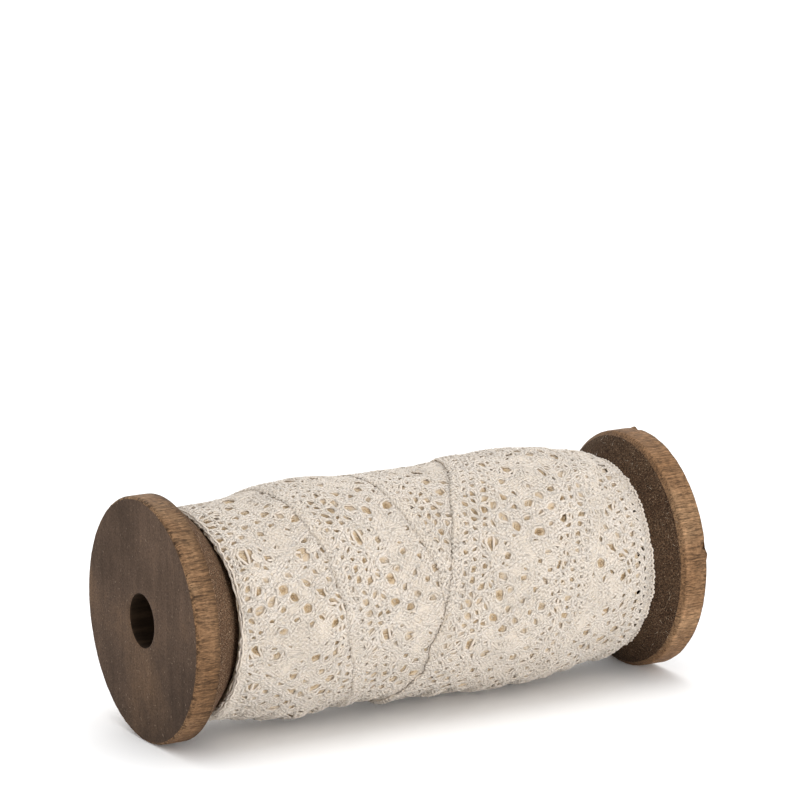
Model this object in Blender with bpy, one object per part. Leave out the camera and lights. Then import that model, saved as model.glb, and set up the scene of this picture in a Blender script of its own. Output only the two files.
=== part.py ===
"""A wooden spool wound with cotton lace ribbon, lying on its side.

The axis lies along X, the spool rests on Z = 0, and the wound lace is one solid round the core.
Angles round the roll are in degrees: 0 faces -Y, 90 is the top, 180 the back and 270 the underside.
"""

import math

import bmesh
import bpy
import numpy as np

# Turned wooden spool, in metres
SPOOL_LENGTH = 0.1175
RIM_RADIUS = 0.025
RIM_WIDTH = 0.0052
RIM_BEVEL = 0.0005
BEVEL_ROUND = 0.3
CORE_RADIUS = 0.013
CONE_SLOPE = 1.0
BORE_RADIUS = 0.0053
BORE_BEVEL = 0.0006
FLAT_DEPTH = 0.00015
SPOOL_STEPS = 96
SHARP_ANGLE = 35

# Wound lace
SEAT_GAP = 0.0003
LACE_HALF_LENGTH = 0.0485
LACE_MOST_RADIUS = 0.0245
ROLL_STEPS = 60
ROLL_COLUMNS = 56
CORE_COLUMNS = 4

AXIS_HEIGHT = RIM_RADIUS - FLAT_DEPTH
RIM_INNER_X = SPOOL_LENGTH / 2 - RIM_WIDTH
CORE_HALF_LENGTH = RIM_INNER_X - (RIM_RADIUS - CORE_RADIUS) / CONE_SLOPE
MM = 0.001

# Radius of the wound lace along the spool, in mm: (x, along the top, along the underside)
LACE_RADIUS = (
    (-48.5, 21.2, 21.2),
    (-46.0, 22.0, 21.6),
    (-40.0, 21.9, 22.2),
    (-34.0, 22.7, 23.5),
    (-28.0, 23.7, 23.5),
    (-20.0, 24.1, 22.9),
    (-10.0, 23.3, 23.1),
    (2.0, 23.3, 24.2),
    (10.0, 24.1, 24.4),
    (18.0, 24.0, 24.5),
    (26.0, 24.3, 24.4),
    (32.0, 23.8, 23.6),
    (38.0, 22.7, 22.5),
    (44.0, 21.9, 22.0),
    (48.5, 21.2, 21.2),
)

# Left edge of the turns that run to the right, in the order they are wound: (angle, x in mm)
LOWER_TURNS = (
    (200, -49.0),
    (150, -41.0),
    (104, -33.0),
    (72, -30.2),
    (25, -26.4),
    (-26, -22.2),
    (-76, -17.3),
    (-166, -14.0),
    (-256, -11.5),
    (-293, -8.2),
    (-329, -4.5),
    (-360, -1.9),
    (-420, 4.0),
)

# Both edges of the last turns, which run back to the left and end behind: (angle, left x, right x)
LAST_TURNS = (
    (464, 15.5, 49.0),
    (284, 15.5, 49.0),
    (160, 15.2, 48.5),
    (130, 14.4, 46.5),
    (104, 12.0, 43.5),
    (79, 8.9, 41.2),
    (55, 4.6, 37.1),
    (33, 1.0, 33.6),
    (10, -1.3, 31.4),
    (-8, -2.9, 31.1),
    (-20, -5.2, 31.2),
    (-38, -4.8, 32.0),
    (-50, -7.6, 32.0),
    (-76, -10.0, 30.5),
    (-120, -12.8, 24.0),
    (-170, -16.0, 17.0),
)

# Relief of the turns' edges, in mm
LOWER_STEP = 0.45
LAST_STEP = 0.75
LAST_RIGHT_STEP = 0.5
STEP_SPREAD = 7.0
STEP_WIDTH = 1.2
CROSSING_FADE = 3.0
END_FADE = 6.0

# Unevenness of hand winding: (height in mm, waves round the roll, mm for one wave along it, phase)
UNEVEN = (
    (0.16, 2, 46.0, 0.4),
    (0.12, 3, -31.0, 2.1),
    (0.09, 5, 23.0, 4.0),
    (0.06, 7, -17.0, 1.2),
)

WOOD_COLOUR = (0.19, 0.095, 0.045, 1.0)
LACE_COLOUR = (0.82, 0.76, 0.66, 1.0)


def clear_scene():
    for obj in list(bpy.data.objects):
        bpy.data.objects.remove(obj, do_unlink=True)


def plain_material(name, colour, roughness):
    material = bpy.data.materials.new(name)
    material.use_nodes = True
    shader = material.node_tree.nodes["Principled BSDF"]
    shader.inputs["Base Color"].default_value = colour
    shader.inputs["Roughness"].default_value = roughness
    shader.inputs["Metallic"].default_value = 0.0
    return material


def add_object(name, shape, material):
    """The finished shape as an object of its own, with faces out and smooth shading between sharp edges."""
    bmesh.ops.recalc_face_normals(shape, faces=shape.faces)
    mesh = bpy.data.meshes.new(name)
    shape.to_mesh(mesh)
    shape.free()
    mesh.shade_smooth()
    mesh.set_sharp_from_angle(angle=math.radians(SHARP_ANGLE))
    mesh.materials.append(material)
    obj = bpy.data.objects.new(name, mesh)
    bpy.context.scene.collection.objects.link(obj)
    return obj


def spool_half_profile():
    """(x, radius) from the bore's middle out to the core's middle, round the right-hand flange."""
    end = SPOOL_LENGTH / 2
    return [
        (end - BORE_BEVEL, BORE_RADIUS),
        (end, BORE_RADIUS + BORE_BEVEL),
        (end, RIM_RADIUS - RIM_BEVEL),
        (end - RIM_BEVEL * BEVEL_ROUND, RIM_RADIUS - RIM_BEVEL * BEVEL_ROUND),
        (end - RIM_BEVEL, RIM_RADIUS),
        (RIM_INNER_X, RIM_RADIUS),
        (CORE_HALF_LENGTH, CORE_RADIUS),
    ]


def make_spool(material):
    """Rims, cones, core and through bore, turned from one piece."""
    right = spool_half_profile()
    profile = right + [(-x, radius) for x, radius in reversed(right)]
    shape = bmesh.new()
    points = [shape.verts.new((x, 0, -radius)) for x, radius in profile]
    edges = [shape.edges.new(pair) for pair in zip(points, points[1:] + points[:1])]
    bmesh.ops.spin(
        shape,
        geom=points + edges,
        cent=(0, 0, 0),
        axis=(1, 0, 0),
        angle=math.tau,
        steps=SPOOL_STEPS,
        use_merge=True,
    )
    bmesh.ops.remove_doubles(shape, verts=shape.verts, dist=0.00001)
    for point in shape.verts:
        point.co.z = max(point.co.z + AXIS_HEIGHT, 0.0)
    return add_object("spool", shape, material)


def smooth_step(t):
    t = min(max(t, 0.0), 1.0)
    return t * t * (3 - 2 * t)


def table_at(table, place, column):
    """A table's column at a place in its first column, on a smooth curve through the rows."""
    rows = table if table[0][0] < table[-1][0] else table[::-1]
    places = [row[0] for row in rows]
    values = [row[column] for row in rows]
    i = int(np.clip(np.searchsorted(places, place) - 1, 0, len(rows) - 2))
    span = places[i + 1] - places[i]
    t = min(max((place - places[i]) / span, 0.0), 1.0)

    def slope(k):
        low, high = max(k - 1, 0), min(k + 1, len(rows) - 1)
        return (values[high] - values[low]) / (places[high] - places[low]) * span

    a, b = slope(i), slope(i + 1)
    rise = values[i + 1] - values[i]
    return values[i] + t * a + t * t * (3 * rise - 2 * a - b) + t**3 * (a + b - 2 * rise)


def edge_relief(distance, height):
    """A turn's edge: raised on the side it covers, sunk beyond it, and fading out to both sides."""
    side = smooth_step(distance / STEP_WIDTH + 0.5) - 0.5
    return height * side * math.exp(-abs(distance) / STEP_SPREAD)


def passes(table, angle):
    """Wound angles of the table's turns that pass this angle, the last wound first."""
    first, last = table[0][0], table[-1][0]
    return [wound for wound in (angle - 360, angle, angle + 360) if last <= wound <= first]


def turns_relief(angle, x):
    """Relief in mm of the turns' edges that show at this angle and place."""
    top = passes(LAST_TURNS, angle)[0]
    left, right = table_at(LAST_TURNS, top, 1), table_at(LAST_TURNS, top, 2)
    total = edge_relief(x - left, LAST_STEP)
    off_cone = smooth_step((LACE_HALF_LENGTH / MM - right) / CROSSING_FADE)
    total += off_cone * edge_relief(right - x, LAST_RIGHT_STEP)
    for wound in passes(LOWER_TURNS, angle):
        lower_left = table_at(LOWER_TURNS, wound, 1)
        uncovered = smooth_step((left - lower_left) / CROSSING_FADE)
        total += uncovered * edge_relief(x - lower_left, LOWER_STEP)
    return total


def ribbon_end_relief(angle, x):
    """The cut end of the ribbon, on the back."""
    end_angle, left, right = LAST_TURNS[-1]
    away = (angle - end_angle) % 360
    away = away - 360 if away > 180 else away
    inside = smooth_step(x - left) * smooth_step(right - x)
    return inside * edge_relief(math.radians(away) * RIM_RADIUS / MM, LAST_STEP)


def lace_radius(angle, x):
    """Outer radius of the wound lace in mm, at an angle in degrees and a place x in mm."""
    upward = (1 + math.sin(math.radians(angle))) / 2
    wound = upward * table_at(LACE_RADIUS, x, 1) + (1 - upward) * table_at(LACE_RADIUS, x, 2)
    to_end = LACE_HALF_LENGTH / MM - abs(x)
    free = smooth_step(to_end / END_FADE)
    for height, waves, length, phase in UNEVEN:
        wound += free * height * math.sin(waves * math.radians(angle) + math.tau * x / length + phase)
    wound += free * (turns_relief(angle, x) + ribbon_end_relief(angle, x))
    return min(wound, LACE_MOST_RADIUS / MM)


def clear_of_spool(x):
    """Smallest radius at x that keeps the seat gap to the cone and the core."""
    cone_gap = SEAT_GAP * math.hypot(1, CONE_SLOPE)
    cone = RIM_RADIUS - (RIM_INNER_X - abs(x)) * CONE_SLOPE + cone_gap
    return max(cone, CORE_RADIUS + SEAT_GAP)


def make_lace_roll(material):
    """The wound lace as one closed ring, from its outer surface round to its inside on the core."""
    outer = np.linspace(-LACE_HALF_LENGTH, LACE_HALF_LENGTH, ROLL_COLUMNS + 1)
    cone_gap = SEAT_GAP * (math.hypot(1, CONE_SLOPE) - 1)
    inner_corner = CORE_HALF_LENGTH - cone_gap / CONE_SLOPE
    inner = [LACE_HALF_LENGTH, *np.linspace(inner_corner, -inner_corner, CORE_COLUMNS), -LACE_HALF_LENGTH]
    shape = bmesh.new()
    rings = []
    for step in range(ROLL_STEPS):
        angle = 360 * step / ROLL_STEPS - 90
        out = (-math.cos(math.radians(angle)), math.sin(math.radians(angle)))
        section = [(x, lace_radius(angle, x / MM) * MM) for x in outer]
        section += [(x, clear_of_spool(x)) for x in inner]
        rings.append(
            [shape.verts.new((x, out[0] * radius, AXIS_HEIGHT + out[1] * radius)) for x, radius in section]
        )
    for ring, following in zip(rings, rings[1:] + rings[:1]):
        for k in range(len(ring)):
            after = (k + 1) % len(ring)
            shape.faces.new((ring[k], ring[after], following[after], following[k]))
    return add_object("lace_roll", shape, material)


clear_scene()
make_spool(plain_material("stained_wood", WOOD_COLOUR, 0.55))
make_lace_roll(plain_material("cotton_lace", LACE_COLOUR, 0.9))
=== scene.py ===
import math

import bpy
import numpy as np
from mathutils import Matrix, Vector
from mathutils.bvhtree import BVHTree


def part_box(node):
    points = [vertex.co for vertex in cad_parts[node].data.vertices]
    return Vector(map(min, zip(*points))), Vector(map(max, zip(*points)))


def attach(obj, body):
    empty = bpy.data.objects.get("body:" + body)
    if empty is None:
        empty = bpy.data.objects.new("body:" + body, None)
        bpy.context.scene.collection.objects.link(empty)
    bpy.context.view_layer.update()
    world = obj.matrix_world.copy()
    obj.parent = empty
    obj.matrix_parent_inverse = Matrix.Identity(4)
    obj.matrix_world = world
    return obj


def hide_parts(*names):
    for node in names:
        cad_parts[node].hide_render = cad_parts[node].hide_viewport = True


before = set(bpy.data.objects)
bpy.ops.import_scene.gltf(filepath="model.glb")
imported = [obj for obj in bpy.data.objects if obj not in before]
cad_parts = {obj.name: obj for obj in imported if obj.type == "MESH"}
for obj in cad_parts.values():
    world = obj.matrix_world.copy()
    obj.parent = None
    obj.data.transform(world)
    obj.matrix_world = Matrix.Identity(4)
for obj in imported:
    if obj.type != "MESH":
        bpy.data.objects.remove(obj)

# Lengths are in millimetres and angles in degrees. Round the spool, 0 faces -Y, 90 is the top, 180 the
# back and -90 the underside. A wound angle goes on past a full turn, and falls as the ribbon is wound on.
MM = 0.001
rng = np.random.default_rng(7)

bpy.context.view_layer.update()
spool_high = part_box("spool")[1]
SPOOL_HALF = spool_high.x / MM
RIM_RADIUS = spool_high.y / MM
AXIS_HEIGHT = spool_high.z / MM - RIM_RADIUS

# Turned spool
RIM_WIDTH = 5.2
CORE_RADIUS = 13.0
BORE_RADIUS = 5.3
RIM_INNER = SPOOL_HALF - RIM_WIDTH

# Lace ribbon
RIBBON_WIDTH = 32.5
CELLS_ACROSS = 62
CELL = RIBBON_WIDTH / CELLS_ACROSS
THREAD_RADIUS = 0.28
CORD_RADIUS = 0.3
WEAVE_HEIGHT = 0.11
REPEAT = 22.0
MEAN_RADIUS = 23.6
TOP_RADIUS = 24.45
# How far a turn goes on under the one wound over it
TUCK = 3.0

# The first turn's left edge, which stands a little free of the cone: (angle, x)
FREE_EDGE = (
    (-180, -48.6),
    (-85, -49.0),
    (-62, -48.6),
    (-35, -48.0),
    (-8, -47.5),
    (12, -47.0),
    (36, -47.6),
    (56, -48.3),
    (75, -49.0),
    (180, -48.6),
)

# Left edge of the turns that run to the right: (wound angle, x)
LOWER_EDGE = (
    (570, -50.4),
    (475, -50.6),
    (440, -51.8),
    (360, -52.2),
    (300, -51.4),
    (250, -50.4),
    (215, -50.4),
    (200, -49.4),
    (150, -41.0),
    (104, -33.0),
    (72, -30.2),
    (25, -26.4),
    (-26, -22.2),
    (-76, -18.4),
    (-120, -18.6),
    (-166, -18.4),
    (-210, -16.0),
    (-256, -11.5),
    (-293, -8.2),
    (-329, -4.5),
    (-360, -1.9),
    (-430, 5.0),
)

# Left edge of the last turns, which run back to the left and end behind: (wound angle, x)
LAST_EDGE = (
    (524, 15.8),
    (284, 15.8),
    (160, 15.2),
    (130, 14.4),
    (104, 12.0),
    (79, 8.9),
    (55, 4.6),
    (33, 1.0),
    (10, -1.3),
    (-8, -2.9),
    (-20, -5.2),
    (-38, -4.8),
    (-50, -7.6),
    (-76, -10.0),
    (-120, -12.8),
    (-170, -16.0),
)

# The soft sheet under the threads: its grid, how deep it lies, and how much deeper in a hole
CLOTH_STEP = 0.58
CLOTH_DEPTH = 0.17
HOLE_DEPTH = 0.62

# The turns below: how deep their threads and their surface lie, and where the surface ends on the right
UNDER_THREAD_DEPTH = 0.8
UNDER_LAYER_DEPTH = 1.3
UNDER_LAYER_END = 44.6
CLEAR_HOLES_X = 44.2

# Loose fibres on the lace, for each square millimetre, and hairs on the right cone, with root radii
FUZZ_DENSITY = 0.5
FUZZ_RADIUS = 0.04
LINT_HAIRS = 30
LINT_RADIUS = 0.03

# Wound angles, at the left edge, of one eye row on each strip
LOWER_EYES = 36.0
LAST_EYES = 32.5


def smooth_step(t):
    t = np.clip(t, 0.0, 1.0)
    return t * t * (3 - 2 * t)


def blur(values, spread, wraps=False):
    """Values along the first axis, blurred by a bell curve of that spread in steps."""
    reach = int(3 * spread) + 1
    weights = np.exp(-0.5 * (np.arange(-reach, reach + 1) / spread) ** 2)
    weights /= weights.sum()
    padded = np.pad(values, [(reach, reach)] + [(0, 0)] * (values.ndim - 1), "wrap" if wraps else "edge")
    return sum(w * padded[k : k + len(values)] for k, w in enumerate(weights))


class Noise:
    """Smooth noise from about -1 to 1 over a plane, one value each cell, the first axis wrapping round."""

    def __init__(self, cell_u, cell_v, wrap_u=None):
        self.cells = np.array([cell_u, cell_v], float)
        self.count = round(wrap_u / cell_u) if wrap_u else 97
        if wrap_u:
            self.cells[0] = wrap_u / self.count
        self.table = rng.uniform(-1, 1, (self.count, 89))

    def __call__(self, u, v):
        u, v = np.asarray(u) / self.cells[0], np.asarray(v) / self.cells[1] + 200
        i, j = np.floor(u).astype(int), np.floor(v).astype(int)
        a, b = smooth_step(u - i), smooth_step(v - j)
        t = self.table
        i0, i1, j0, j1 = i % self.count, (i + 1) % self.count, j % 89, (j + 1) % 89
        return (t[i0, j0] * (1 - a) + t[i1, j0] * a) * (1 - b) + (t[i0, j1] * (1 - a) + t[i1, j1] * a) * b


class RollSurface:
    """The lace solid's outer radius, with its steps blurred away, at any angle and place."""

    def __init__(self):
        tree = BVHTree.FromObject(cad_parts["lace_roll"], bpy.context.evaluated_depsgraph_get())
        self.x = np.arange(-48.0, 48.1, 1.0)
        far = 2 * RIM_RADIUS
        rows = []
        for angle in range(0, 360, 2):
            out = Vector((0, -math.cos(math.radians(angle)), math.sin(math.radians(angle))))
            middle = Vector((0, 0, AXIS_HEIGHT))
            rows.append([])
            for x in self.x:
                start = (middle + out * far + Vector((x, 0, 0))) * MM
                distance = tree.ray_cast(start, -out)[3]
                rows[-1].append(far - distance / MM)
        grid = blur(np.array(rows), 3.0, wraps=True)
        self.grid = blur(grid.T, 3.0).T

    def __call__(self, angle, x):
        a = (np.asarray(angle) % 360) / 2
        i = np.floor(a).astype(int)
        t = a - i
        place = np.clip(x, self.x[0], self.x[-1]) - self.x[0]
        j = np.minimum(np.floor(place).astype(int), len(self.x) - 2)
        s = place - j
        g, n = self.grid, len(self.grid)
        near = g[i % n, j] * (1 - t) + g[(i + 1) % n, j] * t
        far = g[i % n, j + 1] * (1 - t) + g[(i + 1) % n, j + 1] * t
        return near * (1 - s) + far * s


surface = RollSurface()
swell = Noise(14.0, 9.0, 360.0)
pucker = Noise(9.0, 3.2, 360.0)
scallop = Noise(24.0, 2.8, 360.0)

# Half the lace's length, the taper of the winding's unevenness at its ends, and that unevenness
LACE_HALF = 48.5
END_TAPER = 6
SWELL_HEIGHT = 0.22
PUCKER_HEIGHT = 0.13
# On the right the lace curves down onto the cone, and on the left only its edge dips
SHOULDER_X = 45.5
SHOULDER_WIDTH = 3.5
CONE_GAP = 0.45
EDGE_DIP = 0.7
EDGE_DIP_FROM = 1.1
EDGE_DIP_WIDTH = 1.4
# The rolled fold beside the left cone: where, how far round, how wide and how high
FOLD_ANGLE = -35
FOLD_REACH = 48
FOLD_FADE = 15
FOLD_X = -47.3
FOLD_WIDTH = 1.1
FOLD_HEIGHT = 0.4
# The underside: how far round it reaches, how it stands in along the spool, and its scallops
BENEATH_ANGLE = -80
BENEATH_REACH = 28
BENEATH_FADE = 14
INWARD_FROM = -26
INWARD_WIDTH = 16
INWARD_RISE = 0.55
INWARD_AT_LEFT = -0.3
SCALLOP_HEIGHT = 0.5
SCALLOP_LENGTH = 5.2
# The arch of |sin| has a mean of 0.64, so that twice it less this is about level
SCALLOP_MEAN = 1.27


def degrees_apart(angle, middle):
    return np.abs((angle - middle + 180) % 360 - 180)


def cone_radius(x):
    return RIM_RADIUS - (RIM_INNER - np.abs(x))


def free_edge(angle):
    angles, places = np.array(FREE_EDGE, float).T
    return np.interp((np.asarray(angle) + 180) % 360 - 180, angles, places)


def left_fold(angle, x):
    """The smooth rolled fold where the first turn meets the left cone, on the lower front."""
    near = smooth_step((FOLD_REACH - degrees_apart(angle, FOLD_ANGLE)) / FOLD_FADE)
    return near * np.exp(-(((x - FOLD_X) / FOLD_WIDTH) ** 2))


def roll_radius(angle, x):
    """The lace's mean surface with the unevenness of hand winding, drawn down onto the cones at its ends."""
    free = smooth_step((LACE_HALF - np.abs(x)) / END_TAPER)
    radius = surface(angle, x) + free * (SWELL_HEIGHT * swell(angle, x) + PUCKER_HEIGHT * pucker(angle, x))
    at_end = smooth_step((x - SHOULDER_X) / SHOULDER_WIDTH)
    radius = radius * (1 - at_end) + np.minimum(radius, cone_radius(x) + CONE_GAP) * at_end
    radius = radius - EDGE_DIP * smooth_step((free_edge(angle) + EDGE_DIP_FROM - x) / EDGE_DIP_WIDTH)
    beneath = smooth_step((BENEATH_REACH - degrees_apart(angle, BENEATH_ANGLE)) / BENEATH_FADE)
    inward = INWARD_RISE * smooth_step((x - INWARD_FROM) / INWARD_WIDTH) + INWARD_AT_LEFT
    uneven_x = x + 1.3 * scallop(angle, x / 2)
    arch = np.abs(np.sin(math.pi * uneven_x / SCALLOP_LENGTH))
    bumps = SCALLOP_HEIGHT * (2 * arch - SCALLOP_MEAN)
    radius = radius - free * beneath * (inward + SCALLOP_HEIGHT * scallop(angle, x) - bumps)
    return radius + FOLD_HEIGHT * left_fold(angle, x)


def to_space(angle, x, radius):
    a = np.radians(angle)
    return np.stack([x, -np.cos(a) * radius, AXIS_HEIGHT + np.sin(a) * radius], -1) * MM


def outward(angle):
    a = np.radians(angle)
    return np.stack([np.zeros_like(a), -np.cos(a), np.sin(a)], -1)


# How far the winding's steps and edges are evened out, in degrees, and how much an edge wavers, in mm
EDGE_BLUR = 2.0
EVEN_BLUR = 9.0
SLOPE_BLUR = 26.0
EDGE_WAVER = 0.3
WAVER_FADE = 5.0
DEGREES_IN_RADIAN = 57.3


class Strip:
    """A stretch of wound ribbon. Its own coordinates are p along it and v across it from its left edge."""

    def __init__(self, edge, eyes_at, step, right_step, stretch=1.0):
        self.first, self.last = edge[0][0], edge[-1][0]
        wound = np.arange(self.first, self.last - 0.5, -1.0)
        angles, places = np.array(edge[::-1], float).T
        x = blur(np.interp(wound, angles, places), EDGE_BLUR)
        even = blur(x, EVEN_BLUR)
        x = x + EDGE_WAVER * waver(wound / DEGREES_IN_RADIAN * MEAN_RADIUS, x[0])
        arc = -np.radians(wound) * MEAN_RADIUS
        slope = blur(np.gradient(x, arc), SLOPE_BLUR)
        along = np.concatenate([[0], np.cumsum(np.hypot(np.diff(arc), np.diff(even)))])
        eyes = np.interp(-eyes_at, -wound, along)
        self.wound, self.x, self.even, self.arc, self.slope = wound, x, even, arc, slope
        self.along = along - eyes
        self.step, self.right_step, self.stretch = step, right_step, stretch

    def left(self, wound):
        return np.interp(-np.asarray(wound, float), -self.wound, self.x)

    def right(self, wound):
        slope = np.interp(-np.asarray(wound, float), -self.wound, self.slope)
        return self.left(wound) + RIBBON_WIDTH * self.stretch * np.sqrt(1 + slope**2)

    def has(self, wound):
        return (wound <= self.first) & (wound >= self.last)

    def place(self, p, v):
        """Wound angle and x of points of the ribbon."""
        tables = (self.even, self.x, self.arc, self.slope)
        even, x, arc, slope = (np.interp(p, self.along, table) for table in tables)
        across = v * self.stretch / np.sqrt(1 + slope**2)
        arc = arc - across * slope
        edge = even + (x - even) * np.exp(-np.maximum(v, 0) / WAVER_FADE)
        return -np.degrees(arc / MEAN_RADIUS), edge + across


waver = Noise(3.5, 5.0)
lower = Strip(LOWER_EDGE, LOWER_EYES, step=0.26, right_step=0.0, stretch=1.02)
last = Strip(LAST_EDGE, LAST_EYES, step=0.5, right_step=0.3)
STRIPS = (lower, last)

# How far a turn's step spreads from its edge, where the steps end on the cones, and the groove beside one
EDGE_SPREAD = 7.0
LEFT_LIMIT = -48.0
LEFT_FADE = 5
RIGHT_LIMIT = 47.5
RIGHT_FADE = 3
GROOVE_SHARE = 0.12
GROOVE_WIDTH = 0.7


def later_passes(strip, wound):
    """(strip, wound angle there, where it exists) of each turn wound later over the same angle."""
    found = []
    for other in STRIPS[STRIPS.index(strip) :]:
        turns = range(-3, 0) if other is strip else range(-4, 4)
        for turn in turns:
            at = wound + 360 * turn
            there = other.has(at)
            if there.any():
                found.append((other, at, there))
    return found


def off_left(x):
    return smooth_step((x - LEFT_LIMIT) / LEFT_FADE)


def off_right(x):
    return smooth_step((RIGHT_LIMIT - x) / RIGHT_FADE)


def half_step(step, distance):
    return 0.5 * step * np.exp(-distance / EDGE_SPREAD)


def layer(strip, wound, x, v):
    """How far a turn stands out at its own edges and sinks beside later ones, and whether it shows."""
    lift = off_left(strip.left(wound)) * half_step(strip.step, np.maximum(v, 0))
    from_right = np.maximum(RIBBON_WIDTH - v, 0)
    lift += off_right(strip.right(wound)) * half_step(strip.right_step, from_right)
    shows = np.ones(x.shape, bool)
    for other, at, there in later_passes(strip, wound):
        left, right = other.left(at), other.right(at)
        left_on, right_on = off_left(left), off_right(right)
        lift -= there * left_on * half_step(other.step, np.abs(x - left))
        lift -= there * right_on * half_step(other.right_step, np.abs(x - right))
        for edge, step in ((left, other.step * left_on), (right, other.right_step * right_on)):
            lift -= there * GROOVE_SHARE * step * np.exp(-(((x - edge) / GROOVE_WIDTH) ** 2))
        shows &= ~(there & (x > left + TUCK) & (x < right - TUCK))
    return lift, shows


# Holes round an eye of the pattern: (angle round it, distance, half width)
LEFT_EYE = ((205, 2.2, 1.6), (25, 2.2, 1.55), (120, 1.7, 0.7), (300, 1.8, 0.7), (70, 2.5, 0.6))
RIGHT_EYE = ((160, 2.1, 1.35), (90, 2.0, 0.8), (20, 2.2, 1.35), (320, 2.1, 0.75), (250, 1.8, 0.8))
LEFT_EYE_V = 10.3
RIGHT_EYE_V = 22.4
EYES = ((LEFT_EYE_V, LEFT_EYE), (RIGHT_EYE_V, RIGHT_EYE))
# Half widths of the tiny holes, the lattice's holes and those in the cloth
TINY_HOLE = 0.38
LATTICE_HOLE = 1.1
CLOTH_HOLE = 0.56
# Small holes in the cloth between the eye rows and the lattice: (p, v)
CLOTH_HOLES = (
    (3.6, 8.4),
    (3.9, 12.4),
    (3.7, 16.2),
    (3.8, 20.0),
    (3.5, 24.6),
    (-3.5, 9.0),
    (-3.9, 13.6),
    (-3.7, 18.4),
    (-3.6, 23.6),
    (-1.6, 15.2),
    (1.7, 17.4),
    (0.2, 13.6),
    (-0.4, 19.2),
)


def lace_holes():
    """The holes of one repeat: (p, v, half width)."""
    holes = []
    for side in (0, 1):
        for k in range(16):
            for place in (1.25, 8.8):
                holes.append((REPEAT / 16 * k, RIBBON_WIDTH - place if side else place, TINY_HOLE))
        for column, place in enumerate((2.6, 4.7, 6.9)):
            for k in range(10):
                p = REPEAT / 10 * (k + 0.5 * (column % 2))
                size = 0.78 + 0.22 * max(0.0, math.cos(math.tau * (p - 11) / REPEAT)) - 0.1 * (column == 0)
                holes.append((p, RIBBON_WIDTH - place if side else place, size))
    for j in range(6):
        for i in range(-3, 4):
            if (i + j) % 2 == 0:
                holes.append((5.6 + 2.15 * j, RIBBON_WIDTH / 2 + 2.6 * i, LATTICE_HOLE))
    for middle, ring in EYES:
        for angle, distance, size in ring:
            a = math.radians(angle)
            holes.append((distance * math.sin(a), middle + 1.15 * distance * math.cos(a), size))
    return holes + [(p, v, CLOTH_HOLE) for p, v in CLOTH_HOLES]


HOLES = lace_holes()
HOLE_COPIES = 64
hole_size = rng.uniform(0.62, 1.3, (len(HOLES), HOLE_COPIES))
hole_shape = rng.uniform(0.76, 1.3, (len(HOLES), HOLE_COPIES))
hole_shift = rng.normal(0, 0.27, (len(HOLES), HOLE_COPIES, 2))
# The columns beside both edges are more even than the rest.
EDGE_COLUMNS = 8
for index, (_, place, _) in enumerate(HOLES):
    if min(place, RIBBON_WIDTH - place) < EDGE_COLUMNS:
        hole_shift[index] *= 0.5
        hole_size[index] = 0.6 * hole_size[index] + 0.42
# The first turn's eye row at the upper front has its holes pulled wide open.
WIDE_EYE_ROW = -7
WIDE_EYE_SIZE = 1.5
first_eye_hole = len(HOLES) - len(CLOTH_HOLES) - len(LEFT_EYE) - len(RIGHT_EYE)
hole_size[[first_eye_hole, first_eye_hole + len(LEFT_EYE)], WIDE_EYE_ROW % HOLE_COPIES] = WIDE_EYE_SIZE


def near_copy(p, hole, index):
    """Distance along the ribbon to the nearest copy of a hole, and that copy's size, shape and shift."""
    turns = np.floor((p - hole[0]) / REPEAT + 0.5)
    k = turns.astype(int) % HOLE_COPIES
    away = p - hole[0] - turns * REPEAT
    return away, hole_size[index, k], hole_shape[index, k], hole_shift[index, k]


def open_share(strip, p, v):
    """How far the holes are open: less where the first turn is rolled into a fold."""
    return 1 - 0.9 * np.minimum(1, 1.5 * left_fold(*strip.place(p, v)))


def push_aside(strip, p, v, lean):
    """Threads of one lean, moved sideways round each hole, and how much of a hole's rim they are on."""
    push, rim = np.zeros_like(p), np.zeros_like(p)
    opened = open_share(strip, p, v)
    for index, hole in enumerate(HOLES):
        dp, size, shape, shift = near_copy(p, hole, index)
        radius = hole[2] * size * shape**lean * opened
        dp = dp - shift[..., 0]
        dv = v - hole[1] - shift[..., 1]
        side = (dp - lean * dv) / math.sqrt(2)
        ahead = (lean * dp + dv) / math.sqrt(2)
        open_here = 0.9 * radius * np.exp(-0.9 * (ahead / radius) ** 2)
        reach = np.exp(-((side / (1.7 * radius)) ** 2))
        away = np.where(side < 0, -1.0, 1.0)
        push += away * (np.sqrt(side**2 + open_here**2 * reach) - np.abs(side))
        rim += np.exp(-((side**2 + ahead**2) / (1.6 * radius) ** 2))
    return p + push / math.sqrt(2), v - lean * push / math.sqrt(2), np.minimum(rim, 1.0)


def hole_share(strip, p, v):
    """How far into a hole points are: 1 in its middle, and 0 on the cloth."""
    share = np.zeros_like(p)
    opened = open_share(strip, p, v)
    for index, hole in enumerate(HOLES):
        dp, size, shape, shift = near_copy(p, hole, index)
        radius = hole[2] * size * opened
        dp = dp - shift[..., 0]
        dv = v - hole[1] - shift[..., 1]
        rise = (dp - dv) / (math.sqrt(2) * radius * shape)
        fall = (dp + dv) / (math.sqrt(2) * radius / shape)
        share = np.maximum(share, np.exp(-(((rise**2 + fall**2) / 0.9) ** 1.4)))
    return share


drift_p, drift_v = Noise(7.0, 7.0), Noise(7.0, 7.0)
jitter_p, jitter_v = Noise(1.5, 1.5), Noise(1.5, 1.5)
fluff = Noise(1.2, 1.2)
shade = Noise(3.1, 3.1)
# How far the pattern drifts, how far single threads stray, and the place where the lace is cut off
DRIFT_ALONG = 0.35
DRIFT_ACROSS = 0.3
THREAD_JITTER = 0.3
LACE_RIGHT = 48.9


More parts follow.
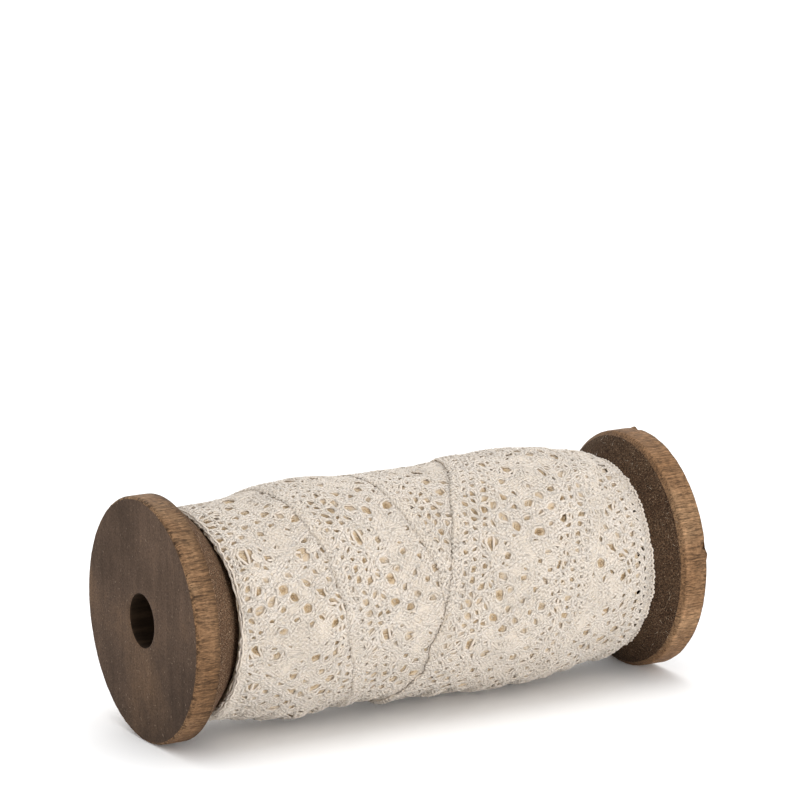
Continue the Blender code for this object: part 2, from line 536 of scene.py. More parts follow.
def lay(strip, p, v, height):
    """Points of the ribbon in the frame: their places, the roll's outward direction, and which show."""
    p = p + DRIFT_ALONG * drift_p(p, v)
    v = v + DRIFT_ACROSS * drift_v(p, v)
    wound, x = strip.place(p, v)
    lift, shows = layer(strip, wound, x, v)
    shows &= (p >= strip.along[0]) & (p <= strip.along[-1]) & (x > free_edge(wound)) & (x < LACE_RIGHT)
    radius = np.minimum(roll_radius(wound, x) + lift + height, TOP_RADIUS)
    return to_space(wound, x, radius), outward(wound), shows


class Threads:
    """Round threads gathered from many lines, each point joined to the next where told."""

    def __init__(self):
        self.parts = []

    def add(self, points, normals, radius, joined, tone):
        before = np.concatenate([[False], joined[:-1]])
        used = joined | before
        radius = np.broadcast_to(radius, joined.shape)
        tone = np.broadcast_to(tone, joined.shape)
        self.parts.append([a[used] for a in (points, normals, radius, joined, tone)])

    def piece(self, name, material, sides):
        points, normals, radius, joined, tone = (np.concatenate(a) for a in zip(*self.parts))
        before = np.concatenate([[False], joined[:-1]])
        ahead = np.where(joined[:, None], np.roll(points, -1, 0), points)
        behind = np.where(before[:, None], np.roll(points, 1, 0), points)
        run = ahead - behind
        run /= np.linalg.norm(run, axis=1)[:, None] + 1e-12
        side = np.cross(run, normals)
        side /= np.linalg.norm(side, axis=1)[:, None] + 1e-12
        up = np.cross(side, run)
        turn = math.tau * (np.arange(sides) + 0.5) / sides
        ring = np.cos(turn)[None, :, None] * up[:, None] + np.sin(turn)[None, :, None] * side[:, None]
        corners = points[:, None] + ring * (radius * MM)[:, None, None]
        k = np.arange(sides)
        start = np.nonzero(joined)[0][:, None] * sides
        a, b = start + k, start + (k + 1) % sides
        faces = np.stack([a, b, b + sides, a + sides], -1).reshape(-1, 4).tolist()
        faces += (np.nonzero(joined & ~before)[0][:, None] * sides + k[::-1]).tolist()
        faces += (np.nonzero(before & ~joined)[0][:, None] * sides + k).tolist()
        return make_piece(name, corners.reshape(-1, 3), faces, material, np.repeat(tone, sides))


def make_piece(name, corners, faces, material, tone=None):
    mesh = bpy.data.meshes.new(name)
    mesh.from_pydata(corners.tolist(), [], faces)
    mesh.shade_smooth()
    mesh.materials.append(material)
    if tone is not None:
        mesh.attributes.new("tone", "FLOAT", "POINT").data.foreach_set("value", tone.astype(np.float32))
    piece = bpy.data.objects.new(name, mesh)
    bpy.context.scene.collection.objects.link(piece)
    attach(piece, "root")
    return piece


# A thread keeps a point between two crossings only where it bends by more than this
LEAST_BEND = 0.045


def ground_threads(strip, wound_from, wound_to):
    """The crossing threads of a stretch of ribbon, between two wound angles."""
    threads = Threads()
    bounds = np.interp([-wound_from, -wound_to], -strip.wound, strip.along)
    k = np.arange(2 * CELLS_ACROSS + 1)
    across = k * CELL / 2
    for lean in (1, -1):
        first = math.floor((bounds[0] - RIBBON_WIDTH) / (2 * CELL))
        lines = np.arange(first, math.ceil((bounds[1] + RIBBON_WIDTH) / (2 * CELL)) + 1)
        line, v = np.meshgrid(lines, across, indexing="ij")
        p = line * 2 * CELL + lean * v
        crossing = line + (p + lean * v) / (2 * CELL)
        weave = lean * WEAVE_HEIGHT * np.cos(math.pi * crossing)
        thread_tone = np.random.default_rng(lines[0] + 1000).normal(0, 1, len(lines))[:, None] + 0 * v
        q, w, rim = push_aside(strip, p, v, lean)
        bend = np.zeros_like(p)
        bend[:, 1:-1] = np.hypot(q[:, 2:] - 2 * q[:, 1:-1] + q[:, :-2], w[:, 2:] - 2 * w[:, 1:-1] + w[:, :-2])
        kept = ((k % 2 == 0)[None, :] | (bend > LEAST_BEND)).ravel()
        height = weave + 0.04 * rim + 0.07 * fluff(p, v + 50 * lean) - 0.3
        q += THREAD_JITTER * jitter_p(p, v + 30 * lean)
        w += THREAD_JITTER * jitter_v(p, v + 30 * lean)
        goes_on = (p >= bounds[0]) & (p < bounds[1])
        goes_on[:, -1] = False
        points, normals, shows = lay(strip, q.ravel(), w.ravel(), height.ravel())
        points, normals, shows, goes_on = (a[kept] for a in (points, normals, shows, goes_on.ravel()))
        joined = shows & np.concatenate([shows[1:], [False]]) & goes_on
        inside = hole_share(strip, q, w)
        # Besides each thread's random tone, the tone is painted: darker where a thread dips under in the
        # weave and inside a hole (painted shade), lighter on a hole's rim (painted highlight).
        tone = (0.5 + 0.07 * thread_tone + 0.4 * weave + 0.12 * rim - 0.25 * inside).ravel()[kept]
        thickness = (THREAD_RADIUS * (1 + 0.1 * thread_tone + 0.12 * fluff(q, w + 90))).ravel()[kept]
        threads.add(points, normals, thickness, joined, tone)
    return threads


def under_threads(threads, strip):
    """Threads of the turn below, laid only where a hole shows them."""
    step, apart_along, apart_across = 0.75, 1.15, 1.25
    least_share = 0.2
    for along in (False, True):
        if along:
            lines = np.arange(0.6, RIBBON_WIDTH, apart_along)
            run = np.arange(strip.along[0], strip.along[-1], step)
            v, p = np.meshgrid(lines, run, indexing="ij")
        else:
            lines = np.arange(strip.along[0], strip.along[-1], apart_across)
            run = np.arange(0.0, RIBBON_WIDTH + step, step)
            p, v = np.meshgrid(lines, run, indexing="ij")
        near = hole_share(strip, p, v) > least_share
        near[:, -1] = False
        q = p + 0.6 * jitter_p(p / 2, v / 2 + 10 + 20 * along)
        w = v + 0.6 * jitter_v(p / 2, v / 2 + 40 + 20 * along)
        height = 0.15 * fluff(p, v + 10 * along) - UNDER_THREAD_DEPTH
        points, normals, shows = lay(strip, q, w, height)
        shows = shows.ravel()
        joined = shows & np.concatenate([shows[1:], [False]]) & near.ravel()
        # Painted shade: the low tone makes the turn below tan, with random variation.
        tone = (0.22 + 0.16 * shade(p, v) + 0.12 * fluff(q, w + 30)).ravel()
        threads.add(points.reshape(-1, 3), normals.reshape(-1, 3), 0.22, joined, tone)


def cloth_layer(strip, name, material):
    """The inner threads of the cloth as one soft sheet under the top ones, sunk in the holes and tan there as
    painted shade.
    """
    p = np.arange(strip.along[0], strip.along[-1], CLOTH_STEP)
    v = np.arange(0.35, RIBBON_WIDTH - 0.2, CLOTH_STEP)
    p, v = np.meshgrid(p, v, indexing="ij")
    n, m = p.shape
    share = hole_share(strip, p, v)
    height = 0.06 * fluff(p, v + 70) - CLOTH_DEPTH - HOLE_DEPTH * share
    points, _, shows = lay(strip, p.ravel(), v.ravel(), height.ravel())
    # Beyond the under layer the holes go right through, onto the cone.
    beyond = points[:, 0] > CLEAR_HOLES_X * MM
    shows = (shows & ~(beyond & (share.ravel() > 0.3))).reshape(n, m)
    kept = shows[1:, 1:] & shows[:-1, 1:] & shows[1:, :-1] & shows[:-1, :-1]
    i, j = np.nonzero(kept)
    faces = np.stack([i * m + j, i * m + j + 1, (i + 1) * m + j + 1, (i + 1) * m + j], -1)
    used, faces = np.unique(faces, return_inverse=True)
    # Painted shade: in the holes the sheet's tone falls to a dark tan, with random variation.
    deep = 0.11 + 0.16 * shade(p, v) + 0.05 * fluff(p, v + 110)
    tone = (0.47 * (1 - share) + deep * share).ravel()[used]
    make_piece(name, points[used], faces.reshape(-1, 4).tolist(), material, tone)


def cord_line(threads, strip, p, v, height, radius, tone=0.55):
    """One thicker thread along given points of the ribbon."""
    points, normals, shows = lay(strip, p, v, height)
    joined = shows & np.concatenate([shows[1:], [False]])
    threads.add(points, normals, radius, joined, tone)


def edge_cords(threads, strip):
    """A cord along each edge, and small loops outside the right one."""
    p = np.arange(strip.along[0], strip.along[-1], 0.4)
    inset, loop_length = 0.35, 1.3
    for v0 in (inset, RIBBON_WIDTH - inset):
        v = v0 + 0.4 * jitter_v(p, v0)
        cord_line(threads, strip, p, v, -0.5 + 0.12 * fluff(p, v), 0.28, 0.4)
    loops = RIBBON_WIDTH + 0.02 + 0.3 * np.abs(np.sin(math.pi * p / loop_length)) + 0.2 * jitter_p(p, 7)
    cord_line(threads, strip, p, loops, -0.42 + 0 * p, 0.26, 0.5)


def eye_cords(threads, strip):
    """Rings round each eye, its woven middle, and the rays between a row's two eyes."""
    rows = np.arange(math.ceil(strip.along[0] / REPEAT), math.floor(strip.along[-1] / REPEAT) + 1)
    for row in rows:
        for v0, slant in ((LEFT_EYE_V, 0.5), (RIGHT_EYE_V, -0.4)):
            shift = rng.normal(0, 0.15, 2)
            t = np.linspace(0, math.tau, 25) + rng.uniform(0, math.tau)
            for wide, high, lift in ((3.9, 3.3, -0.3), (1.0, 0.6, -0.22), (0.55, 0.25, -0.18)):
                dp = high * np.sin(t) + slant * wide * np.cos(t)
                p = row * REPEAT + dp + shift[0]
                v = v0 + wide * np.cos(t) + shift[1]
                p += 0.3 * jitter_p(p, v)
                v += 0.3 * jitter_v(p, v)
                shown = rng.integers(15, 26)
                height = lift + 0.1 * fluff(p, v)[:shown]
                cord_line(threads, strip, p[:shown], v[:shown], height, CORD_RADIUS)
        t = np.linspace(-1, 1, 15)
        for ray in np.linspace(-1, 1, 6):
            v = (LEFT_EYE_V + RIGHT_EYE_V) / 2 + rng.uniform(2.2, 3.6) * t
            p = row * REPEAT + ray * (1.0 + 1.8 * t**2) + 0.35 * jitter_p(v, 5 * ray)
            cord_line(threads, strip, p, v, -0.3 + 0.12 * fluff(p, v), CORD_RADIUS)


def trail_cords(threads, strip):
    """Threads that run the ribbon's length beside its edge columns."""
    p = np.arange(strip.along[0], strip.along[-1], 0.5)
    for v0, phase in ((1.5, 0.0), (8.3, 1.0), (25.6, 4.0), (31.0, 3.0)):
        v = v0 + 0.5 * np.sin(math.tau * p / REPEAT + phase) + 0.4 * jitter_v(p, v0)
        cord_line(threads, strip, p, v, -0.36 + 0.16 * fluff(p, v), CORD_RADIUS, 0.5)


def selvedge(threads):
    """The threads that bind the first turn's free edge."""
    angle = np.arange(-180.0, 181.0, 1.5)
    # (inward, drop, tone): the lowest thread's darker tone is painted shade under the edge.
    edge_threads = ((0.15, 0.3, 0.5), (0.35, 0.1, 0.5), (0.3, 0.9, 0.32))
    for inward, drop, tone in edge_threads:
        x = free_edge(angle) + inward + 0.22 * fluff(angle / 2, 20 * drop)
        radius = roll_radius(angle, x) - drop + 0.1 * fluff(angle / 2, 30 * drop)
        joined = np.arange(len(angle)) < len(angle) - 1
        threads.add(to_space(angle, x, radius), outward(angle), 0.25, joined, tone)


def spikes(name, material, points, runs, radius, tone):
    """Thin closed spikes, each from a point along a run to its tip."""
    any_direction = [0.3, 0.5, 0.81]
    side = np.cross(runs, any_direction)
    side *= radius * MM / np.linalg.norm(side, axis=1)[:, None]
    other = np.cross(runs, side) / np.linalg.norm(runs, axis=1)[:, None]
    turns = (0.0, math.tau / 3, 2 * math.tau / 3)
    base = [points + math.cos(t) * side + math.sin(t) * other for t in turns]
    corners = np.stack([*base, points + runs], 1).reshape(-1, 3)
    start = 4 * np.arange(len(points))[:, None]
    faces = np.concatenate([start + k for k in ([0, 1, 3], [1, 2, 3], [2, 0, 3], [2, 1, 0])])
    make_piece(name, corners, faces.tolist(), material, np.full(len(corners), tone))


def fuzz(material):
    """Loose fibre ends that stand off the lace."""
    rows = []
    for strip in STRIPS:
        count = round(FUZZ_DENSITY * (strip.along[-1] - strip.along[0]) * RIBBON_WIDTH)
        p = rng.uniform(strip.along[0], strip.along[-1], count)
        v = rng.uniform(0, RIBBON_WIDTH, count)
        points, normals, shows = lay(strip, p, v, np.full(count, -0.15))
        rows.append(np.concatenate([points, normals], 1)[shows])
    points, normals = np.split(np.concatenate(rows), 2, axis=1)
    runs = rng.normal(0, 0.5, points.shape) + 0.45 * normals
    runs *= rng.uniform(0.4, 0.9, len(runs))[:, None] * MM
    # None goes through the surface that the rims rest on.
    above = (points + runs)[:, 2] > 0
    spikes("lace_fuzz", material, points[above], runs[above], FUZZ_RADIUS, 0.6)


def lint(material):
    """A few pale hairs caught on the right cone."""
    angle = rng.uniform(-60, 120, LINT_HAIRS)
    x = rng.uniform(50.4, 53.0, LINT_HAIRS)
    points = to_space(angle, x, cone_radius(x) + 0.08)
    runs = rng.normal(0, 1, points.shape)
    up = outward(angle) - [0.7, 0, 0]
    up /= np.linalg.norm(up, axis=1)[:, None]
    runs -= (runs * up).sum(1)[:, None] * up
    runs *= rng.uniform(0.5, 1.5, LINT_HAIRS)[:, None] / np.linalg.norm(runs, axis=1)[:, None] * MM
    spikes("cone_lint", material, points, runs, LINT_RADIUS, 0.2)


def under_layer(material):
    """The turns below, seen through the holes and behind the free edge, as one surface."""
    angles = np.arange(0, 360, 3.0)
    x = np.concatenate([np.zeros(4), np.arange(-44.4, 43.1, 1.2), [UNDER_LAYER_END]])
    a, place = np.meshgrid(angles, x, indexing="ij")
    # The first columns follow the free edge and run down to the left cone.
    place[:, :4] = free_edge(angles)[:, None] + [1.4, 1.1, 0.85, 0.65]
    radius = roll_radius(a, place) - UNDER_LAYER_DEPTH
    for column, drop in ((0, 9.0), (1, 1.7), (2, 0.8), (3, 0.1), (-2, 0.6), (-1, 1.4)):
        radius[:, column] -= drop
    radius = np.maximum(radius, cone_radius(place) + 0.12)
    corners = to_space(a, place, radius).reshape(-1, 3)
    n, m = a.shape
    i, j = np.meshgrid(np.arange(n), np.arange(m - 1), indexing="ij")
    after = (i + 1) % n
    faces = np.stack([i * m + j, i * m + j + 1, after * m + j + 1, after * m + j], -1).reshape(-1, 4)
    make_piece("lace_under_layer", corners, faces.tolist(), material)


# Materials
class Nodes:
    """Short ways to add and join a material's nodes."""

    def __init__(self, name):
        self.material = bpy.data.materials.new(name)
        self.material.use_nodes = True
        self.tree = self.material.node_tree
        self.shader = self.tree.nodes["Principled BSDF"]
        self.place = self.add("ShaderNodeTexCoord").outputs["Object"]

    def add(self, kind, **settings):
        node = self.tree.nodes.new(kind)
        for key, value in settings.items():
            setattr(node, key, value)
        return node

    def join(self, source, target):
        if isinstance(source, (int, float, tuple)):
            target.default_value = source
        else:
            self.tree.links.new(source, target)

    def stretch(self, scale, turn=(0, 0, 0)):
        node = self.add("ShaderNodeMapping")
        node.inputs["Scale"].default_value = scale
        node.inputs["Rotation"].default_value = [math.radians(t) for t in turn]
        self.join(self.place, node.inputs["Vector"])
        return node.outputs["Vector"]

    def noise(self, scale, vector=None, detail=3.0, rough=0.6, warp=0.0):
        node = self.add("ShaderNodeTexNoise")
        for key, value in (("Scale", scale), ("Detail", detail), ("Roughness", rough), ("Distortion", warp)):
            node.inputs[key].default_value = value
        self.join(vector or self.place, node.inputs["Vector"])
        return node.outputs["Fac"]

    def ramp(self, value, *stops):
        """(place, value) or (place, colour) stops."""
        node = self.add("ShaderNodeValToRGB")
        elements = node.color_ramp.elements
        while len(elements) < len(stops):
            elements.new(0.5)
        for element, (place, colour) in zip(elements, stops):
            element.position = place
            element.color = (*colour, 1) if isinstance(colour, tuple) else (colour, colour, colour, 1)
        self.join(value, node.inputs["Fac"])
        return node.outputs["Color"]

    def along(self, axis):
        """The place along an axis, in mm."""
        parts = self.add("ShaderNodeSeparateXYZ")
        self.join(self.place, parts.inputs[0])
        return self.math("DIVIDE", parts.outputs[axis], MM)

    def span(self, value, low, high):
        """Where a value lies between two others, as 0 to 1."""
        node = self.add("ShaderNodeMapRange")
        node.inputs["From Min"].default_value = low
        node.inputs["From Max"].default_value = high
        self.join(value, node.inputs["Value"])
        return node.outputs["Result"]

    def mix(self, share, a, b, blend="MIX"):
        node = self.add("ShaderNodeMix", data_type="RGBA", blend_type=blend)
        self.join(share, node.inputs["Factor"])
        for value, name in ((a, "A"), (b, "B")):
            target = next(s for s in node.inputs if s.name == name and s.type == "RGBA")
            if isinstance(value, tuple):
                value = (*value, 1)
            self.join(value, target)
        return next(s for s in node.outputs if s.type == "RGBA")

    def times(self, colour, factor):
        return self.mix(1.0, colour, factor, "MULTIPLY")

    def math(self, kind, a, b=0.0):
        node = self.add("ShaderNodeMath", operation=kind)
        self.join(a, node.inputs[0])
        self.join(b, node.inputs[1])
        return node.outputs[0]

    def bump(self, height, distance, strength=1.0):
        node = self.add("ShaderNodeBump")
        node.inputs["Strength"].default_value = strength
        node.inputs["Distance"].default_value = distance
        self.join(height, node.inputs["Height"])
        self.join(node.outputs["Normal"], self.shader.inputs["Normal"])

    def finish(self, colour, roughness, specular=0.3):
        self.join(colour, self.shader.inputs["Base Color"])
        self.join(roughness, self.shader.inputs["Roughness"])
        self.shader.inputs["Specular IOR Level"].default_value = specular
        return self.material


def cotton_threads():
    n = Nodes("cotton_threads")
    tone = n.add("ShaderNodeAttribute", attribute_name="tone").outputs["Fac"]
    strands = n.noise(2600, detail=3.0, rough=0.6, warp=1.2)
    tone = n.math("ADD", tone, n.math("MULTIPLY", n.math("SUBTRACT", strands, 0.5), 0.45))
    # Low tones, tan to dark brown, carry the painted shade from the tone attribute. High tones are the cream
    # cotton.
    colour = n.ramp(
        tone,
        (0.0, (0.24, 0.165, 0.09)),
        (0.1, (0.42, 0.31, 0.19)),
        (0.22, (0.57, 0.455, 0.325)),
        (0.4, (0.585, 0.508, 0.425)),
        (0.8, (0.6, 0.538, 0.477)),
    )
    blotch = n.ramp(n.noise(140, detail=4), (0.35, 0.9), (0.65, 1.0))
    colour = n.times(colour, blotch)
    fibre = n.noise(6500, n.stretch((1, 1, 1)), 3.0, 0.7)
    n.bump(fibre, 0.00008, 0.7)
    n.shader.inputs["Sheen Weight"].default_value = 0.06
    n.shader.inputs["Subsurface Weight"].default_value = 0.5
    n.shader.inputs["Subsurface Scale"].default_value = 0.0004
    n.shader.inputs["Subsurface Radius"].default_value = (1.0, 1.0, 1.0)
    return n.finish(colour, n.ramp(fibre, (0.3, 0.85), (0.7, 1.0)), 0.08)


def shaded_cotton():
    n = Nodes("shaded_cotton")
    strands = n.noise(2600, n.stretch((1, 1, 1)), 3.0, 0.6, 1.2)
    colour = n.ramp(
        strands,
        (0.35, (0.46, 0.34, 0.21)),
        (0.55, (0.58, 0.46, 0.32)),
        (0.72, (0.68, 0.58, 0.45)),
    )
    n.bump(strands, 0.0003, 0.9)
    return n.finish(colour, 0.95, 0.1)


# Spool of turned wood: the rounding of its corners, and the depth of the right cone left unstained
CORNER_ROUND = 0.6
UNSTAINED = 1.2


def spool_profile():
    """(x, radius, surface) from the right bore edge round the flange and along to the left one."""
    end, rim = SPOOL_HALF, RIM_RADIUS
    right = [(0.0, BORE_RADIUS, "bore")]
    right += [(x, BORE_RADIUS, "bore") for x in (20.0, 40.0, 52.0, end - 2.0)]
    right += [(end - 0.5, BORE_RADIUS + 0.02, "bore"), (end - 0.15, BORE_RADIUS + 0.25, "face")]
    right += [(end, radius, "face") for radius in np.linspace(BORE_RADIUS + 0.6, rim - 0.75, 16)]
    for t in np.linspace(0.15, 1.0, 6):
        a = t * math.pi / 2
        right.append((end - CORNER_ROUND * (1 - math.cos(a)), rim - CORNER_ROUND * (1 - math.sin(a)), "rim"))
    right += [(x, rim, "rim") for x in np.linspace(end - 0.9, RIM_INNER + 0.5, 9)]
    for t in np.linspace(0.2, 1.0, 5):
        right.append((RIM_INNER + 0.3 - 0.5 * t, rim - 0.03 - 0.32 * t * t, "cone"))
    x_edge, r_edge = right[-1][0], right[-1][1]
    length = r_edge - CORE_RADIUS
    for t in np.linspace(0.05, 1.0, 20):
        right.append((x_edge - length * t, r_edge - length * t, "cone"))
    right += [(x, CORE_RADIUS, "cone") for x in (30.0, 15.0)]
    left = [(-x, radius, kind) for x, radius, kind in right[1:][::-1]]
    # On the right flange the stain of the cone stops short of the rim.
    for k, (x, radius, kind) in enumerate(right):
        if kind == "cone" and radius > RIM_RADIUS - UNSTAINED:
            right[k] = (x, radius, "rim")
    return right + [(0.0, CORE_RADIUS, "cone")] + left


SPOOL_STEPS = 240
# Chips out of the right rim, and splinters where the depth is negative: (x, angle, size, depth)
CHIPS = (
    (58.4, 11.5, 0.9, 0.9),
    (58.4, 7.5, 0.8, -0.5),
    (58.3, 97.0, 0.55, -0.5),
    (58.5, 93.0, 0.9, 0.25),
    (54.0, -20.0, 0.8, 0.2),
)


def make_spool(materials):
    """The spool turned from its profile, with worn rims, chips and a splinter, flat where it rests."""
    profile = spool_profile()
    angles = np.arange(SPOOL_STEPS) * 360 / SPOOL_STEPS - 90
    x, base, kinds = (np.array(column) for column in zip(*profile))
    a, place = np.meshgrid(angles, x.astype(float), indexing="ij")
    radius = np.broadcast_to(base.astype(float), a.shape).copy()
    grain = Noise(1.1, 30.0, 360.0)
    wear = Noise(9.0, 4.0, 360.0)
    on_rim = (kinds == "rim")[None, :]
    radius -= on_rim * (0.05 * np.maximum(grain(a, place), 0) + 0.03 * (1 + wear(a, place)))
    corner = on_rim & (np.abs(place) > SPOOL_HALF - CORNER_ROUND)
    radius -= corner * 0.06 * (1 + wear(a * 3, place))
    for chip_x, chip_angle, size, depth in CHIPS:
        away = np.radians(degrees_apart(a, chip_angle)) * RIM_RADIUS
        reach = np.hypot(away, place - chip_x) / size
        radius -= on_rim * depth * np.exp(-(reach**4)) * (1 + 0.5 * grain(a, place))
    corners = to_space(a, place, radius)
    corners[..., 2] = np.maximum(corners[..., 2], 0.0)
    n, m = a.shape
    i, j = np.meshgrid(np.arange(n), np.arange(m), indexing="ij")
    after, following = (i + 1) % n, (j + 1) % m
    faces = np.stack([i * m + j, i * m + following, after * m + following, after * m + j], -1).reshape(-1, 4)
    piece = make_piece("spool_wood", corners.reshape(-1, 3), faces.tolist(), materials["face"])
    names = list(materials)
    for name in names[1:]:
        piece.data.materials.append(materials[name])
    kind_of = np.array([names.index(kinds[(k + 1) % m]) for k in range(m)])
    piece.data.polygons.foreach_set("material_index", np.tile(kind_of, n))
    piece.data.set_sharp_from_angle(angle=math.radians(50))
    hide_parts("spool")


def wood_face():
    """End grain under a dark stain: faint rings, fine pores and cloudy patches, with painted shade towards
    the bottom.
    """
    n = Nodes("wood_face")
    cloud = n.noise(45, detail=5, rough=0.6)
    colour = n.ramp(
        cloud,
        (0.3, (0.086, 0.054, 0.036)),
        (0.52, (0.108, 0.069, 0.047)),
        (0.72, (0.15, 0.092, 0.056)),
    )
    rings = n.noise(260, n.stretch((0.1, 3.0, 0.3)), 4, 0.7)
    colour = n.times(colour, n.ramp(rings, (0.3, 0.82), (0.65, 1.12)))
    pores = n.noise(2600, detail=3)
    colour = n.times(colour, n.ramp(pores, (0.36, 0.7), (0.5, 1.0), (0.68, 1.18)))
    patches = n.noise(22, detail=4, rough=0.65)
    colour = n.times(colour, n.ramp(patches, (0.35, 0.62), (0.6, 0.92)))
    # Painted shade: the face is darker towards the bottom.
    painted_low_shade = n.ramp(n.span(n.along("Z"), 4.0, 24.0), (0.0, 0.74), (1.0, 1.06))
    colour = n.times(colour, painted_low_shade)
    dust = n.noise(1900, detail=1)
    colour = n.mix(n.ramp(dust, (0.68, 0.0), (0.76, 0.5)), colour, (0.26, 0.19, 0.14))
    n.bump(pores, 0.0001, 0.5)
    return n.finish(colour, 0.8, 0.08)


def wood_rim():
    """Long grain: short dark vessel lines along the axis on lighter, warmer wood."""
    n = Nodes("wood_rim")
    cloud = n.noise(60, detail=4)
    colour = n.ramp(
        cloud,
        (0.3, (0.20, 0.105, 0.048)),
        (0.5, (0.27, 0.15, 0.075)),
        (0.7, (0.37, 0.225, 0.12)),
    )
    long_lines = n.noise(1300, n.stretch((0.1, 1.6, 1.6)), 3, 0.7)
    colour = n.times(colour, n.ramp(long_lines, (0.38, 0.66), (0.48, 0.95), (0.65, 1.12)))
    lines = n.noise(2000, n.stretch((0.22, 1.5, 1.5)), 4, 0.75)
    colour = n.times(colour, n.ramp(lines, (0.38, 0.46), (0.47, 0.86), (0.6, 1.14)))
    vessels = n.noise(900, n.stretch((0.12, 1.5, 1.5)), 2, 0.5)
    colour = n.times(colour, n.ramp(vessels, (0.46, 1.0), (0.485, 0.5), (0.51, 1.0)))
    grit = n.noise(2600, n.stretch((0.5, 1.0, 1.0)), 2, 0.6)
    colour = n.times(colour, n.ramp(grit, (0.35, 0.72), (0.65, 1.15)))
    turned = n.noise(1100, n.stretch((1.0, 0.05, 0.05)), 2, 0.6)
    colour = n.times(colour, n.ramp(turned, (0.35, 0.86), (0.65, 1.1)))
    place = n.along("X")
    # The right cone's stain runs a little way onto its rim, and the left rim darkens towards its cone as
    # painted shade.
    onto_left = n.span(place, -RIM_INNER - 1.9, -RIM_INNER + 0.1)
    left_painted_shade = n.ramp(onto_left, (0.0, 0.73), (0.5, 0.57), (0.8, 0.42), (1.0, 0.36))
    onto_right = n.span(place, RIM_INNER - 1.3, RIM_INNER + 0.3)
    right_stain = n.ramp(onto_right, (0.0, 0.32), (0.5, 0.68), (1.0, 0.9))
    on_right = n.math("GREATER_THAN", place, 0.0)
    colour = n.times(colour, n.mix(on_right, left_painted_shade, right_stain))
    to_face = n.span(n.math("ABSOLUTE", place), SPOOL_HALF - 1.1, SPOOL_HALF - 0.2)
    nicks = n.ramp(n.noise(1000, n.stretch((0.4, 1, 1)), 3, 0.7), (0.4, 0.35), (0.52, 1.05))
    colour = n.mix(to_face, colour, n.times(colour, nicks))
    n.bump(lines, 0.0002, 0.6)
    return n.finish(colour, 0.7, 0.12)


def wood_cone():
    """Rough end grain on the cones, almost black with pale specks of lint and dust."""
    n = Nodes("wood_cone")
    cloud = n.noise(70, detail=4)
    colour = n.ramp(cloud, (0.35, (0.043, 0.024, 0.014)), (0.7, (0.064, 0.038, 0.022)))
    specks = n.noise(3200, detail=3, rough=0.75)
    colour = n.times(colour, n.ramp(specks, (0.35, 0.35), (0.5, 0.85), (0.68, 2.4)))
    dust = n.noise(4200, detail=1, rough=0.7)
    colour = n.mix(n.ramp(dust, (0.62, 0.0), (0.74, 0.7)), colour, (0.33, 0.245, 0.165))
    # The left cone is painted paler than the right one: painted light on the left and painted shade on the
    # right.
    painted_left_light = n.ramp(n.span(n.along("X"), -40.0, 40.0), (0.0, 1.8), (1.0, 0.88))
    colour = n.times(colour, painted_left_light)
    n.bump(specks, 0.0003, 0.8)
    return n.finish(colour, 0.95, 0.06)


def wood_bore():
    n = Nodes("wood_bore")
    scratch = n.noise(700, n.stretch((0.15, 1, 1)), 3)
    # Painted shade: the bore's colour is far darker than the face's, as the shade in the hole.
    colour = n.ramp(scratch, (0.35, (0.012, 0.007, 0.004)), (0.7, (0.03, 0.018, 0.01)))
    n.bump(scratch, 0.0002, 0.6)
    return n.finish(colour, 0.85, 0.06)


# Studio, in metres and watts
SKY_STRENGTH = 1.06
FLOOR_HALF = 4.0
# Soft round lights: (name, place, size, power)
LIGHTS = (
    ("top_light", (0.04, -0.02, 0.92), 0.8, 2.8),
    ("front_light", (-0.7, -0.9, 0.4), 0.8, 0.2),
    ("low_light", (0.06, -0.88, 0.1), 0.3, 4.7),
    ("back_light", (0.3, 0.85, 0.6), 0.8, 2.2),
)
LIT_PLACE = (0, 0, 0.02)


def pale_floor():
    n = Nodes("pale_floor")
    n.shader.inputs["Base Color"].default_value = (0.94, 0.94, 0.94, 1)
    n.shader.inputs["Roughness"].default_value = 0.9
    mesh = bpy.data.meshes.new("floor")
    corners = [(FLOOR_HALF * x, FLOOR_HALF * y, 0) for x, y in ((-1, -1), (1, -1), (1, 1), (-1, 1))]
    mesh.from_pydata(corners, [], [(0, 1, 2, 3)])
    mesh.materials.append(n.material)
    floor = bpy.data.objects.new("floor", mesh)
    bpy.context.scene.collection.objects.link(floor)


def soft_light(name, place, size, power):
    light = bpy.data.lights.new(name, "AREA")
    light.shape = "DISK"
    light.size = size
    light.energy = power
    lamp = bpy.data.objects.new(name, light)
    lamp.location = place
    lamp.rotation_euler = (Vector(LIT_PLACE) - Vector(place)).to_track_quat("-Z", "Y").to_euler()
    bpy.context.scene.collection.objects.link(lamp)


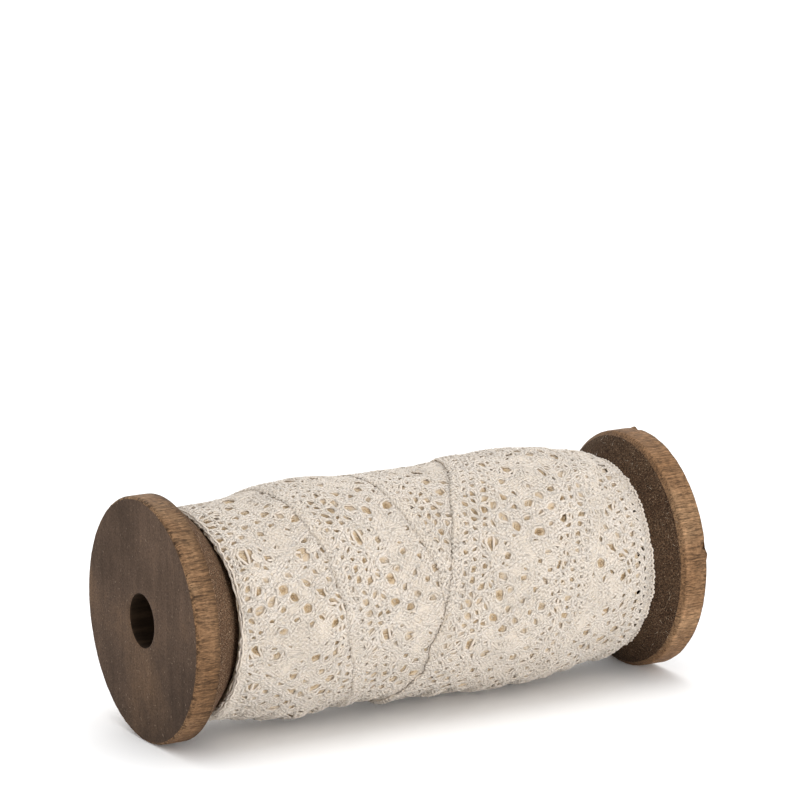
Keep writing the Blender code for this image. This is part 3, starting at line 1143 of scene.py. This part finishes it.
def studio():
    world = bpy.data.worlds.new("soft_world")
    world.use_nodes = True
    sky = world.node_tree.nodes["Background"]
    sky.inputs["Color"].default_value = (1, 1, 1, 1)
    sky.inputs["Strength"].default_value = SKY_STRENGTH
    bpy.context.scene.world = world
    bpy.context.scene.view_settings.view_transform = "Standard"
    for light in LIGHTS:
        soft_light(*light)


def photo_camera():
    """The photograph's view, as fitted to the outlines of both flanges, the bore and the spool's length."""
    camera = bpy.data.objects.new("camera", bpy.data.cameras.new("camera"))
    camera.data.sensor_width = 36.0
    camera.data.lens = 206.42
    place = Vector((-0.437773, -0.798588, 0.259583))
    forward = Vector((0.470349, 0.856872, -0.211052))
    right = Vector((0.875128, -0.483703, -0.013513))
    up = Vector((0.113664, 0.178339, 0.977382))
    turn = Matrix((right, up, -forward)).transposed()
    camera.matrix_world = Matrix.Translation(place) @ turn.to_4x4()
    camera.data.clip_start = 0.05
    bpy.context.scene.collection.objects.link(camera)
    bpy.context.scene.camera = camera


# Stretches of each strip, between wound angles, that make one piece of threads each
STRETCHES = (
    ("lace_first_turn", lower, 570, 200),
    ("lace_turn_right", lower, 200, -100),
    ("lace_turn_middle", lower, -100, -430),
    ("lace_turn_back", last, 524, 200),
    ("lace_last_turn_top", last, 200, 10),
    ("lace_last_turn_end", last, 10, -170),
)

cotton = cotton_threads()
for piece_name, strip, wound_from, wound_to in STRETCHES:
    ground_threads(strip, wound_from, wound_to).piece(piece_name, cotton, 3)
trims = Threads()
for strip in STRIPS:
    edge_cords(trims, strip)
    eye_cords(trims, strip)
    trail_cords(trims, strip)
selvedge(trims)
lace_trims = trims.piece("lace_cords", cotton, 4)
deep = Threads()
for strip in STRIPS:
    under_threads(deep, strip)
deep.piece("lace_under_threads", cotton, 3)
cloth_layer(lower, "lace_lower_cloth", cotton)
cloth_layer(last, "lace_last_cloth", cotton)
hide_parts("lace_roll")
under_layer(shaded_cotton())
fuzz(cotton)
lint(cotton)
make_spool({"face": wood_face(), "rim": wood_rim(), "cone": wood_cone(), "bore": wood_bore()})
pale_floor()
studio()
photo_camera()
